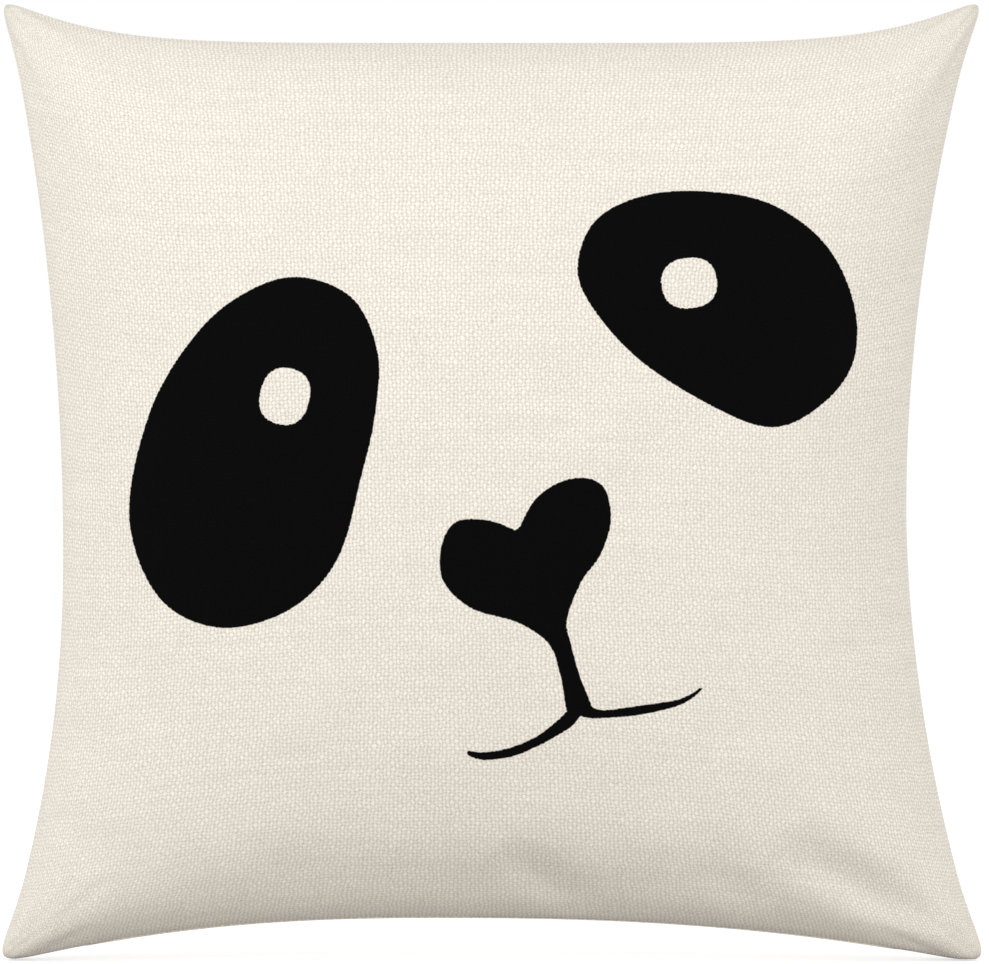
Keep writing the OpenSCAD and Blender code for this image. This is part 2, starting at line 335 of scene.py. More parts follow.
def simulated_offsets(shape, seed):
    """How far Blender's Cloth moves a coarse panel that is sewn down along its edge.

    The cloth rests at its flat cut size, a little more than the outline has room for, and the filling
    presses it outwards, so the spare cloth gathers into folds along the seams and at the ears.
    """
    start = panel_grid(SIM_CELLS, shape)
    start[..., 1] -= wear_folds(start, seed) * inner_mask(SIM_CELLS + 1)
    rows = SIM_CELLS + 1
    mesh = bpy.data.meshes.new("sim_panel")
    mesh.from_pydata(start.reshape(-1, 3).tolist(), [], grid_quads(rows).tolist())
    piece = bpy.data.objects.new("sim_panel", mesh)
    bpy.context.scene.collection.objects.link(piece)
    flat = np.linspace(-1, 1, rows) * shape.flat_size / 2
    fx, fz = np.meshgrid(flat, flat)
    rest = np.stack([fx, np.zeros_like(fx), fz + shape.height / 2], axis=-1)
    piece.shape_key_add(name="Basis")
    key = piece.shape_key_add(name="flat_cut")
    key.data.foreach_set("co", rest.reshape(-1).astype(np.float32))
    key.value = 0.0
    sewn = piece.vertex_groups.new(name="sewn")
    sewn.add([int(i) for i in loop_indices(rows)], 1.0, "REPLACE")
    cloth = piece.modifiers.new("Cloth", "CLOTH")
    settings = cloth.settings
    settings.quality = 6
    settings.mass = 0.25
    settings.tension_stiffness = 40
    settings.compression_stiffness = 30
    settings.shear_stiffness = 12
    settings.bending_stiffness = 1.2
    settings.air_damping = 4
    settings.use_pressure = True
    settings.uniform_pressure_force = 9.0
    settings.vertex_group_mass = "sewn"
    settings.pin_stiffness = 1.0
    settings.rest_shape_key = key
    settings.effector_weights.gravity = 0
    scene = bpy.context.scene
    for number in range(1, SIM_FRAMES + 1):
        scene.frame_set(number)
    shown = piece.evaluated_get(bpy.context.evaluated_depsgraph_get())
    moved = np.zeros(rows * rows * 3, np.float32)
    shown.data.vertices.foreach_get("co", moved)
    scene.frame_set(1)
    bpy.data.objects.remove(piece)
    bpy.data.meshes.remove(mesh)
    offsets = moved.reshape(rows, rows, 3) - panel_grid(SIM_CELLS, shape)
    return capped(offsets)


def inner_mask(rows):
    """1 over most of a panel and 0 at its edge."""
    s = np.linspace(-1, 1, rows)
    a, b = np.meshgrid(s, s)
    return np.clip((1 - np.maximum(np.abs(a), np.abs(b))) * MASK_SLOPE, 0, 1)


def capped(offsets):
    """Limits how far a point may have moved: outwards (-Y), inwards and sideways."""
    out = offsets.copy()
    out[..., 1] = np.where(
        out[..., 1] < 0, -SIM_OUT * np.tanh(-out[..., 1] / SIM_OUT), SIM_IN * np.tanh(out[..., 1] / SIM_IN))
    side = np.linalg.norm(out[..., ::2], axis=-1, keepdims=True)
    out[..., ::2] *= SIM_ASIDE * np.tanh(side / SIM_ASIDE) / np.maximum(side, 1e-9)
    return out


def resampled(field, cells):
    """A coarse field on a finer grid: Catmull-Rom curves along the rows and then along the columns."""
    for axis in (0, 1):
        count = field.shape[axis]
        place = np.linspace(0, count - 1, cells + 1)
        first = np.minimum(place.astype(int), count - 2)
        f = place - first
        weights = np.stack([
            -0.5 * f + f**2 - 0.5 * f**3, 1 - 2.5 * f**2 + 1.5 * f**3,
            0.5 * f + 2 * f**2 - 1.5 * f**3, -0.5 * f**2 + 0.5 * f**3])
        taps = [np.take(field, np.clip(first + k, 0, count - 1), axis=axis) for k in (-1, 0, 1, 2)]
        shape = [1, 1, 1]
        shape[axis] = cells + 1
        field = sum(w.reshape(shape) * tap for w, tap in zip(weights, taps))
    return field


# ---------------------------------------------------------------- the printed face

PRINT_Z = 0.2215  # height of the print's middle above the floor
# Places on the outlines, in millimetres across and up from the print's middle
LEFT_PATCH = [(-85, 91), (-62, 81), (-51, 57), (-52, 30), (-58, 3), (-69, -35), (-91, -58), (-123, -66),
              (-151, -52), (-164.5, -16), (-154, 32), (-131, 68), (-107, 86)]
RIGHT_PATCH = [(38.5, 97), (47, 117), (69, 128), (98, 130), (127, 124), (152, 105), (165, 78), (164, 53),
               (149, 34), (127, 24), (101, 32), (66, 54), (44, 79)]
LEFT_SHINE = {"centre": (-92.6, 37.6), "radii": (11.2, 12.8), "turn": -14}
RIGHT_SHINE = {"centre": (88.5, 88.5), "radii": (12.6, 11.4), "turn": 8}
SHINE_POWER = 2.4  # a little squarer than an ellipse
NOSE_LEFT = [(11.6, -22.8), (-1, -18), (-16, -18.5), (-22.5, -30), (-21.5, -45), (-9, -57), (12, -63.5),
             (25.5, -73), (30.5, -86), (32.5, -97), (34, -106)]
NOSE_RIGHT = [(46, -105), (43.5, -98), (39.5, -88), (35.5, -74), (33.5, -62), (40, -45), (48.5, -33),
              (53, -18), (50.5, -4), (42, 1), (30, -1), (19, -9), (11.6, -22.8)]
# The two strokes of the smile: places on the middle line and the stroke's half width there
SMILE = {
    "smile_left": [(39, -101, 2.6), (34.5, -107, 3.1), (28, -112, 2.5), (20, -117, 2.0), (8, -122, 2.0),
                   (-4, -123.7, 1.6), (-10, -122.3, 1.1)],
    "smile_right": [(37, -101, 2.6), (43, -103.5, 2.7), (50, -104.6, 1.7), (66, -103, 2.0),
                    (82, -100, 1.35), (89, -97, 0.9), (94, -93.2, 0.5)],
}


def curve_through(points, closed, steps=12):
    """A Catmull-Rom curve through a few points, each a tuple of any length."""
    p = np.array(points, float)
    n = len(p)
    spans = n if closed else n - 1
    base = np.arange(spans)
    f = np.linspace(0, 1, steps, endpoint=False)[None, :, None]

    def tap(k):
        i = base + k
        return p[i % n if closed else np.clip(i, 0, n - 1)][:, None, :]

    a, b, c, d = tap(-1), tap(0), tap(1), tap(2)
    way = 0.5 * (2 * b + (c - a) * f + (2 * a - 5 * b + 4 * c - d) * f**2 + (3 * b - a - 3 * c + d) * f**3)
    way = way.reshape(-1, p.shape[1])
    return way if closed else np.vstack([way, p[-1]])


def signed_area(place, way):
    """Distance to a closed outline in millimetres, negative inside."""
    best = np.full(len(place), np.inf)
    inside = np.zeros(len(place), bool)
    for a, b in zip(way, np.roll(way, -1, axis=0)):
        d = b - a
        f = np.clip(((place - a) @ d) / max(d @ d, 1e-12), 0, 1)
        best = np.minimum(best, np.linalg.norm(place - (a + f[:, None] * d), axis=1))
        crosses = (a[1] > place[:, 1]) != (b[1] > place[:, 1])
        rise = d[1] if abs(d[1]) > 1e-12 else 1e-12
        inside ^= crosses & (place[:, 0] < a[0] + d[0] * (place[:, 1] - a[1]) / rise)
    return np.where(inside, -best, best)


def stroke_fields(place, way):
    """For each place: how far it lies to the left of a stroke's middle line, how far beyond its ends, and
    the half width of the stroke there. The line runs on straight past its ends."""
    best = np.full(len(place), np.inf)
    off, beyond, width = np.zeros((3, len(place)))
    last = len(way) - 2
    for number, (a, b) in enumerate(zip(way[:-1], way[1:])):
        d = (b - a)[:2]
        length = math.hypot(*d)
        f = ((place - a[:2]) @ d) / length**2
        held = np.clip(f, 0, 1)
        away = place - (a[:2] + held[:, None] * d)
        dist = np.hypot(away[:, 0], away[:, 1])
        near = dist < best
        best = np.where(near, dist, best)
        left = (d[0] * (place[:, 1] - a[1]) - d[1] * (place[:, 0] - a[0])) / length
        before = -f * length if number == 0 else np.zeros(len(place))
        after = (f - 1) * length if number == last else np.zeros(len(place))
        off = np.where(near, left, off)
        beyond = np.where(near, np.maximum(before, after), beyond)
        width = np.where(near, mix(a[2], b[2], held), width)
    return off, beyond, width


def oval(place, centre, radii, turn):
    """Distance, near enough, to a turned oval in millimetres, negative inside."""
    c, s = math.cos(math.radians(turn)), math.sin(math.radians(turn))
    away = place - np.array(centre)
    a = away @ np.array([c, s])
    b = away @ np.array([-s, c])
    reach = (np.abs(a / radii[0]) ** SHINE_POWER + np.abs(b / radii[1]) ** SHINE_POWER) ** (1 / SHINE_POWER)
    return (reach - 1) * min(radii)


def print_fields(x, z):
    """The print as three fields over the cloth, in millimetres, negative where there is ink."""
    place = np.stack([x, z - PRINT_Z], axis=-1).reshape(-1, 2) * 1000
    left = np.maximum(signed_area(place, curve_through(LEFT_PATCH, True)), -oval(place, **LEFT_SHINE))
    right = np.maximum(signed_area(place, curve_through(RIGHT_PATCH, True)), -oval(place, **RIGHT_SHINE))
    nose = np.vstack([curve_through(NOSE_LEFT, False), curve_through(NOSE_RIGHT, False)[:-1]])
    fields = {"ink_eyes": np.minimum(left, right), "ink_nose": signed_area(place, nose)}
    for name, points in SMILE.items():
        off, beyond, width = stroke_fields(place, curve_through(points, False))
        fields.update({name + "_off": off, name + "_beyond": beyond, name + "_width": width})
    return fields


# ---------------------------------------------------------------- meshes


def new_piece(name, points, quads, triangles=(), smooth=True):
    """A mesh object at the origin, from whole arrays of points, quads and triangles."""
    quads = np.asarray(quads, np.int32).reshape(-1, 4)
    triangles = np.asarray(triangles, np.int32).reshape(-1, 3)
    sizes = np.concatenate([np.full(len(quads), 4), np.full(len(triangles), 3)]).astype(np.int32)
    mesh = bpy.data.meshes.new(name)
    mesh.vertices.add(len(points))
    mesh.vertices.foreach_set("co", np.asarray(points, np.float32).reshape(-1))
    mesh.loops.add(int(sizes.sum()))
    mesh.loops.foreach_set("vertex_index", np.concatenate([quads.reshape(-1), triangles.reshape(-1)]))
    mesh.polygons.add(len(sizes))
    mesh.polygons.foreach_set("loop_start", np.concatenate([[0], np.cumsum(sizes)[:-1]]).astype(np.int32))
    mesh.polygons.foreach_set("use_smooth", np.full(len(sizes), smooth))
    mesh.update(calc_edges=True)
    mesh.validate()
    piece = bpy.data.objects.new(name, mesh)
    bpy.context.scene.collection.objects.link(piece)
    return piece


def lay_uv(piece, flat):
    """A UV map in metres of flat cloth, one value for each vertex."""
    mesh = piece.data
    layer = mesh.uv_layers.new(name="cloth")
    corner = np.zeros(len(mesh.loops), np.int32)
    mesh.loops.foreach_get("vertex_index", corner)
    layer.data.foreach_set("uv", np.asarray(flat, np.float32)[corner].reshape(-1))


def set_field(piece, name, values):
    field = piece.data.attributes.new(name, "FLOAT", "POINT")
    field.data.foreach_set("value", np.asarray(values, np.float32))


def flipped(points):
    return points * np.array([1, -1, 1])


def seam_loop(cells, shape, inset, y_gap):
    """A closed loop inside the seam: the outline drawn in by inset, at y_gap in front of the seam plane.
    Along the zip it stands off further, by the slot's half width."""
    s = np.linspace(-1, 1, cells + 1)
    u1 = by_arc(cells + 1, shape, True)
    v1 = by_arc(cells + 1, shape, False)
    u, v = rounded(*np.meshgrid(u1, v1))
    u, v = loop_of(u), loop_of(v)
    below = loop_of(np.meshgrid(s, s)[1]) <= -1
    x, z = outline(u * (1 - 2 * inset / shape.width_bottom), v * (1 - 2 * inset / shape.height), shape)
    y = -y_gap - np.where(below, slot_half(x), 0)
    return np.stack([x, y, np.maximum(z, FLOOR_GAP)], axis=-1)


def panel_rings(cells, shape):
    """The cloth's way from the panel's edge into the seam: a fold of three steps round a quarter circle,
    then the allowance, which lies along the seam plane. Each ring comes with its distance past the edge."""
    rings = []
    for degrees in (30, 60, 90):
        turn = math.radians(degrees)
        inset = shape.fold_radius * (1 - math.cos(turn))
        gap = mix(shape.fold_radius, SEAM_GAP, math.sin(turn))
        rings.append((seam_loop(cells, shape, inset, gap), shape.fold_radius * turn))
    for share in (0.5, 1.0):
        inset = mix(shape.fold_radius, shape.seam_allowance, share)
        rings.append((seam_loop(cells, shape, inset, SEAM_GAP), shape.seam_allowance * share))
    return rings


def build_panel(name, shape, seed, printed):
    """One cover panel: the bulging cloth, its fold round into the seam and the allowance turned inside."""
    cells = shape.cells
    rows = cells + 1
    skin = panel_grid(cells, shape)
    edge = seam_loop(cells, shape, 0, shape.fold_radius)
    move = soft_folds(skin)
    move = move + resampled(simulated_offsets(shape, seed), cells)
    if printed:
        fields = print_fields(skin[..., 0], skin[..., 2])
    skin = (skin + move * inner_mask(rows)[..., None]).reshape(-1, 3)
    skin[loop_indices(rows)] = edge
    skin[:, 1] = np.minimum(skin[:, 1], -shape.fold_radius)
    skin[:, 2] = np.maximum(skin[:, 2], FLOOR_GAP)
    rings = panel_rings(cells, shape)
    points = np.concatenate([skin] + [ring for ring, _ in rings])
    quads = [grid_quads(rows)]
    before = loop_indices(rows)
    for number in range(len(rings)):
        these = np.arange(len(edge)) + rows * rows + number * len(edge)
        quads.append(band_quads(before, these))
        before = these
    quads = np.concatenate(quads)
    flat = np.linspace(-1, 1, rows) * shape.flat_size / 2
    uv = np.stack(np.meshgrid(flat, flat), axis=-1)
    out = loop_of(uv)
    past = [out * (1 + 2 * distance / shape.flat_size) for _, distance in rings]
    if not printed:
        points = flipped(points)
        quads = quads[:, ::-1]
    piece = new_piece(name, points, quads)
    lay_uv(piece, np.concatenate([uv.reshape(-1, 2)] + past))
    if printed:
        far = np.full(len(rings) * len(edge), FAR_OFF)
        for key, values in fields.items():
            set_field(piece, key, np.concatenate([values, far]))
    wall = piece.modifiers.new("Cloth thickness", "SOLIDIFY")
    wall.thickness = CLOTH
    wall.offset = -1
    return piece


def tube(path, across, radius, sides):
    """A thread: a ring of points round each place of the path, at right angles to it, and a cone to close
    each end. across points off the path at each place, and the rings start there."""
    along = np.gradient(path, axis=0)
    along /= np.linalg.norm(along, axis=1, keepdims=True)
    side = across - along * np.sum(across * along, axis=1, keepdims=True)
    side /= np.linalg.norm(side, axis=1, keepdims=True)
    up = np.cross(along, side)
    angle = (np.arange(sides) * 2 * math.pi / sides)[:, None]
    rings = path[:, None] + radius * (side[:, None] * np.cos(angle) + up[:, None] * np.sin(angle))
    count = len(path)
    k = np.arange(count * sides).reshape(count, sides)
    on = np.roll(k, -1, axis=1)
    quads = np.stack([k[:-1], on[:-1], on[1:], k[1:]], axis=-1).reshape(-1, 4)
    first, last = count * sides, count * sides + 1
    ends = np.concatenate([
        np.stack([on[0], k[0], np.full(sides, first)], axis=-1),
        np.stack([k[-1], on[-1], np.full(sides, last)], axis=-1)])
    tips = np.stack([path[0] - along[0] * radius / 2, path[-1] + along[-1] * radius / 2])
    return np.concatenate([rings.reshape(-1, 3), tips]), quads, ends


def joined(parts):
    """Several (points, quads, triangles) as one."""
    points, quads, triangles = [], [], []
    start = 0
    for p, q, t in parts:
        points.append(p)
        quads.append(q + start)
        triangles.append(t + start)
        start += len(p)
    return np.concatenate(points), np.concatenate(quads), np.concatenate(triangles)


def along_seam(shape, inset, step):
    """Places a step apart along the sewn seam, drawn in by inset, from one end of the zip's slot round to
    the other, with the direction into the cushion at each and the distance from the start."""
    loop = seam_loop(shape.cells, shape, inset, 0)
    open_slot = (np.arange(len(loop)) < shape.cells) & (np.abs(loop[:, 0]) < SLOT_FULL + SLOT_RAMP)
    start = int(np.nonzero(open_slot)[0][-1]) + 1
    way = np.roll(loop, -start, axis=0)[: len(loop) - int(open_slot.sum())]
    way[:, 1] = 0
    length = np.concatenate([[0], np.cumsum(np.linalg.norm(np.diff(way, axis=0), axis=1))])
    place = np.arange(0, length[-1], step)
    path = np.stack([np.interp(place, length, way[:, axis]) for axis in range(3)], axis=-1)
    ahead = np.gradient(path, axis=0)
    inwards = np.stack([-ahead[:, 2], np.zeros(len(path)), ahead[:, 0]], axis=-1)
    return path, inwards / np.linalg.norm(inwards, axis=1, keepdims=True), place


def stitched(place, pitch):
    """How far a stitch line stands off its cloth, 0 at each needle hole and 1 between."""
    return np.minimum(1, 2.2 * np.abs(np.sin(math.pi * place / pitch)))


# Soft troughs in the front: from x, z to x, z, then half width and depth, all in millimetres
FOLDS = [
    (4, 56, 47, 20, 9, 5.0),
    (130, 58, 206, 14, 11, 7.5),
    (94, 48, 126, 24, 9, 2.6),
    (-120, 40, 110, 34, 14, 2.6),
    (-176, 436, -128, 388, 12, 1.3),
    (172, 438, 118, 402, 12, 1.3),
    (-205, 70, -170, 44, 10, 1.0),
]


def soft_folds(base):
    """Shallow troughs in the cloth: each is a straight line with a bell-shaped cross-section that fades
    towards its ends, so depth = d * exp(-(off / w)^2) * sin(pi * along)."""
    x, z = base[..., 0] * 1000, base[..., 2] * 1000
    out = np.zeros_like(base)
    for x0, z0, x1, z1, half, depth in FOLDS:
        way = np.array([x1 - x0, z1 - z0], float)
        length = np.hypot(*way)
        way /= length
        along = ((x - x0) * way[0] + (z - z0) * way[1]) / length
        off = (x - x0) * -way[1] + (z - z0) * way[0]
        fade = np.sin(np.clip(along, 0, 1) * math.pi)
        out[..., 1] += depth * MM * np.exp(-((off / half) ** 2)) * fade
    return out


# ---------------------------------------------------------------- materials


class Nodes:
    """A short way to write a shader: each call adds one node and returns its output."""

    def __init__(self, name):
        self.material = bpy.data.materials.new(name)
        self.material.use_nodes = True
        self.tree = self.material.node_tree
        self.tree.nodes.clear()
        self.out = self.tree.nodes.new("ShaderNodeOutputMaterial")

    def put(self, socket, value):
        if isinstance(value, bpy.types.NodeSocket):
            self.tree.links.new(value, socket)
        else:
            socket.default_value = value

    def math(self, operation, a, b=0.0, c=0.0):
        node = self.tree.nodes.new("ShaderNodeMath")
        node.operation = operation
        for socket, value in zip(node.inputs, (a, b, c)):
            self.put(socket, value)
        return node.outputs[0]

    def noise(self, vector, scale, detail=2.0, rough=0.5):
        node = self.tree.nodes.new("ShaderNodeTexNoise")
        self.put(node.inputs["Vector"], vector)
        node.inputs["Scale"].default_value = scale
        node.inputs["Detail"].default_value = detail
        node.inputs["Roughness"].default_value = rough
        return node.outputs["Fac"]

    def combine(self, x, y, z=0.0):
        node = self.tree.nodes.new("ShaderNodeCombineXYZ")
        for socket, value in zip(node.inputs, (x, y, z)):
            self.put(socket, value)
        return node.outputs[0]

    def split(self, vector):
        node = self.tree.nodes.new("ShaderNodeSeparateXYZ")
        self.put(node.inputs[0], vector)
        return node.outputs[0], node.outputs[1], node.outputs[2]

    def mix_colour(self, factor, a, b):
        node = self.tree.nodes.new("ShaderNodeMix")
        node.data_type = "RGBA"
        self.put(node.inputs["Factor"], factor)
        self.put(node.inputs["A"], a)
        self.put(node.inputs["B"], b)
        return node.outputs["Result"]

    def smooth(self, value, low, high):
        """0 below low, 1 above high, with an eased step between."""
        node = self.tree.nodes.new("ShaderNodeMapRange")
        node.interpolation_type = "SMOOTHSTEP"
        self.put(node.inputs["Value"], value)
        node.inputs["From Min"].default_value = low
        node.inputs["From Max"].default_value = high
        return node.outputs["Result"]

    def field(self, name):
        node = self.tree.nodes.new("ShaderNodeAttribute")
        node.attribute_name = name
        return node.outputs["Fac"]

    def place(self, kind):
        return self.tree.nodes.new("ShaderNodeTexCoord").outputs[kind]

    def bump(self, height, distance, strength=1.0):
        node = self.tree.nodes.new("ShaderNodeBump")
        self.put(node.inputs["Height"], height)
        node.inputs["Distance"].default_value = distance
        node.inputs["Strength"].default_value = strength
        return node.outputs[0]

    def surface(self, colour, roughness, normal=None, **constants):
        node = self.tree.nodes.new("ShaderNodeBsdfPrincipled")
        self.put(node.inputs["Base Color"], colour)
        self.put(node.inputs["Roughness"], roughness)
        if normal is not None:
            self.put(node.inputs["Normal"], normal)
        for name, value in constants.items():
            node.inputs[name.replace("_", " ")].default_value = value
        self.tree.links.new(node.outputs[0], self.out.inputs["Surface"])
        return self.material


def rgba(colour, level=1.0):
    return tuple(c * level for c in colour) + (1.0,)


WARP_RIDE, WARP_ROUND = 0.42, 0.58  # shares of a warp yarn's height: its ride and its roundness
WEFT_RIDE, WEFT_ROUND = 0.24, 0.56
FLOAT_LENGTH = 0.4  # how much of each warp ride is cut off, which lengthens the floats


def plain_weave(n, across, along):
    """Height of a plain weave, 0 to about 1, at (across, along) counted in yarns.

    Each warp yarn rides up and down as a cosine along its length, which is cut off at the top so that its
    floats are long; each weft yarn rides the opposite way. Both are round in section; the higher shows.
    """
    warp_no = n.math("FLOOR", across)
    weft_no = n.math("FLOOR", along)
    warp_round = n.math("SINE", n.math("MULTIPLY", n.math("FRACT", across), math.pi))
    weft_round = n.math("SINE", n.math("MULTIPLY", n.math("FRACT", along), math.pi))
    warp_ride, weft_ride = (
        n.math("COSINE", n.math("MULTIPLY", n.math("ADD", n.math("SUBTRACT", place, 0.5), number), math.pi))
        for place, number in ((along, warp_no), (across, weft_no)))
    warp_ride = n.math("MINIMUM", n.math("ADD", warp_ride, FLOAT_LENGTH), 1.0)
    warp = n.math("MULTIPLY_ADD", warp_ride, WARP_RIDE, n.math("MULTIPLY", warp_round, WARP_ROUND))
    weft = n.math("MULTIPLY_ADD", weft_ride, -WEFT_RIDE, n.math("MULTIPLY", weft_round, WEFT_ROUND))
    return n.math("MAXIMUM", warp, weft), n.math("SUBTRACT", warp, weft), warp_no, weft_no


# Waves a metre and size in yarns of the yarns' slow wandering and of their small unevenness
WANDER = (130.0, 1.4)
UNEVEN = (620.0, 0.95)


def yarn_sway(n, x, y, seed):
    """How far the yarns stray from straight, in yarns: slow wandering and small unevenness."""
    slow = n.noise(n.combine(x, y, seed), WANDER[0], 1.0)
    quick = n.noise(n.combine(x, y, seed + 1), UNEVEN[0], 1.0)
    slow = n.math("MULTIPLY", n.math("SUBTRACT", slow, 0.5), WANDER[1])
    return n.math("MULTIPLY_ADD", n.math("SUBTRACT", quick, 0.5), UNEVEN[1], slow)


WARM_CREAM = (0.9, 0.84, 0.75, 1)  # faint clouds of it lie over the cloth


def woven_cloth(name, cloth, printed):
    """Slubby plain weave in cream yarns, with painted shade between them and ink where the printed fields
    are below zero.
    """
    n = Nodes(name)
    x, y, _ = n.split(n.place("UV"))
    across = n.math("ADD", n.math("MULTIPLY", x, 1 / cloth.yarn_pitch), yarn_sway(n, x, y, 0.0))
    along = n.math("ADD", n.math("MULTIPLY", y, 1 / cloth.yarn_pitch), yarn_sway(n, x, y, 5.0))
    height, over, warp_no, weft_no = plain_weave(n, across, along)
    # each yarn has its own shade, and swells and thins along its length
    warp_tone = n.noise(
        n.combine(n.math("MULTIPLY", warp_no, 0.731), n.math("MULTIPLY", y, 14.0)), 1.0, 2.0)
    weft_tone = n.noise(
        n.combine(n.math("MULTIPLY", x, 14.0), n.math("MULTIPLY", weft_no, 0.617), 7.3), 1.0, 2.0)
    on_warp = n.smooth(over, -0.08, 0.08)
    tone = n.math("ADD", n.math("MULTIPLY", on_warp, warp_tone),
                  n.math("MULTIPLY", n.math("SUBTRACT", 1.0, on_warp), weft_tone))
    slub = n.noise(n.combine(n.math("MULTIPLY", x, 22.0), n.math("MULTIPLY", y, 300.0), 2.0), 1.0, 3.0)
    cloud = n.noise(n.place("UV"), 9.0, 2.0)
    fibre = n.noise(n.combine(n.math("MULTIPLY", x, 2600.0), n.math("MULTIPLY", y, 2600.0)), 1.0, 2.0)
    light = rgba(cloth.cloth_colour)
    painted_pore_tint = rgba(cloth.painted_pore_shade)
    # Painted shade: where the weave is low, between the yarns, its colour darkens towards the pore colour,
    # which stands for the shade there; lit is 1 on the yarns' tops
    fuzzy = n.math("ADD", height, n.math("MULTIPLY", n.math("SUBTRACT", fibre, 0.5), 0.5))
    lit = n.smooth(fuzzy, 0.2, 0.95)
    yarn = n.mix_colour(n.smooth(tone, 0.25, 0.75), rgba(cloth.cloth_colour, 0.93), light)
    yarn = n.mix_colour(n.smooth(slub, 0.3, 0.75), yarn, rgba(cloth.cloth_colour, 1.035))
    yarn = n.mix_colour(n.math("MULTIPLY", n.smooth(cloud, 0.35, 0.7), 0.4), yarn, WARM_CREAM)
    colour = n.mix_colour(lit, painted_pore_tint, yarn)
    relief = n.math("ADD", height, n.math("MULTIPLY", fibre, 0.18))
    relief = n.math("ADD", relief, n.math("MULTIPLY", n.math("SUBTRACT", slub, 0.5), 0.5))
    if printed:
        ink = ink_mask(n, height, fibre)
        # The ink is darker down between the yarns and lighter on their tops
        ink_by_yarn_height = n.mix_colour(
            n.smooth(height, 0.05, 0.5), rgba(cloth.ink_colour, 0.5), rgba(cloth.ink_colour, 1.6))
        colour = n.mix_colour(ink, colour, ink_by_yarn_height)
    normal = n.bump(relief, 0.32 * MM, 0.75)
    return n.surface(colour, 0.86, normal, Sheen_Weight=0.01, Sheen_Roughness=0.4,
                     Specular_IOR_Level=0.04)


def ink_mask(n, height, fibre):
    """1 where there is ink. The edge creeps along the raised yarns, so it is a little ragged; lengths are
    in millimetres."""
    near = n.math("MINIMUM", n.field("ink_eyes"), n.field("ink_nose"))
    for name in SMILE:
        beyond = n.math("MAXIMUM", n.field(name + "_beyond"), 0.0)
        away = n.math("ADD", n.math("POWER", n.math("ABSOLUTE", n.field(name + "_off")), 2.0),
                      n.math("POWER", beyond, 2.0))
        near = n.math("MINIMUM", near, n.math("SUBTRACT", n.math("SQRT", away), n.field(name + "_width")))
    creep = n.math("ADD", n.math("MULTIPLY", n.math("SUBTRACT", height, 0.5), 0.55),
                   n.math("MULTIPLY", n.math("SUBTRACT", fibre, 0.5), 0.5))
    edge = n.math("SUBTRACT", near, creep)
    return n.math("SUBTRACT", 1.0, n.smooth(edge, -0.12, 0.12))


def fine_cloth(name, colour, pitch, coordinates="Object"):
    """Smooth, closely woven cloth or tape, in one colour, with painted shade between its yarns."""
    n = Nodes(name)
    x, y, z = n.split(n.place(coordinates))
    up = z if coordinates == "Object" else y
    height, _, _, _ = plain_weave(n, n.math("MULTIPLY", x, 1 / pitch), n.math("MULTIPLY", up, 1 / pitch))
    shade = n.noise(n.place(coordinates), 60.0, 3.0)
    tint = n.mix_colour(n.smooth(shade, 0.3, 0.7), rgba(colour, 0.94), rgba(colour))
    # Painted shade: the colour darkens down between the yarns
    tint = n.mix_colour(n.smooth(height, 0.15, 0.6), rgba(colour, 0.78), tint)
    return n.surface(tint, 0.9, n.bump(height, 0.5 * pitch, 0.6), Sheen_Weight=0.1, Specular_IOR_Level=0.2)


def twisted_thread(name, colour, thickness):
    """Sewing thread: fine ply ridges that wind round it, with painted shade in the grooves between them."""
    n = Nodes(name)
    x, y, z = n.split(n.place("Object"))
    turn = n.math("ADD", n.math("ADD", x, z), n.math("MULTIPLY", y, 1.5))
    ply = n.math("SINE", n.math("MULTIPLY", turn, math.pi / thickness))
    # Painted shade: the thread darkens in the grooves between its plies
    tint = n.mix_colour(n.smooth(ply, -0.8, 0.4), rgba(colour, 0.7), rgba(colour))
    return n.surface(tint, 0.6, n.bump(ply, 0.25 * thickness, 0.8), Specular_IOR_Level=0.35)


def nylon_coil(name):
    """Pale nylon with fine drawing lines."""
    n = Nodes(name)
    grain = n.noise(n.place("Object"), 900.0, 2.0)
    tint = n.mix_colour(grain, (0.8, 0.77, 0.7, 1), (0.9, 0.88, 0.82, 1))
    return n.surface(tint, n.math("MULTIPLY_ADD", grain, 0.15, 0.3), n.bump(grain, 0.05 * MM, 0.4),
                     Specular_IOR_Level=0.5)


def plated_metal(name):
    """Nickel-plated die casting, brushed by handling along X, with duller worn patches."""
    n = Nodes(name)
    x, y, z = n.split(n.place("Object"))
    brushed = n.noise(n.combine(n.math("MULTIPLY", x, 300.0), n.math("MULTIPLY", y, 4000.0),
                                n.math("MULTIPLY", z, 4000.0)), 1.0, 3.0)
    worn = n.noise(n.place("Object"), 450.0, 3.0)
    tint = n.mix_colour(n.smooth(worn, 0.4, 0.7), (0.66, 0.65, 0.63, 1), (0.5, 0.48, 0.45, 1))
    rough = n.math("MULTIPLY_ADD", brushed, 0.25, 0.2)
    return n.surface(tint, rough, n.bump(brushed, 0.03 * MM, 0.5), Metallic=1.0)


def lofty_fibre(name):
    """Crimped polyester fibre, off-white and tangled."""
    n = Nodes(name)
    tangle = n.noise(n.place("Object"), 420.0, 6.0, 0.7)
    tint = n.mix_colour(n.smooth(tangle, 0.3, 0.6), (0.78, 0.78, 0.77, 1), (0.93, 0.93, 0.92, 1))
    return n.surface(tint, 0.95, n.bump(tangle, 1.5 * MM, 0.9), Sheen_Weight=0.3)


def dress(piece, material):
    """Gives a piece one material."""
    piece.data.materials.clear()
    piece.data.materials.append(material)


# ---------------------------------------------------------------- operators


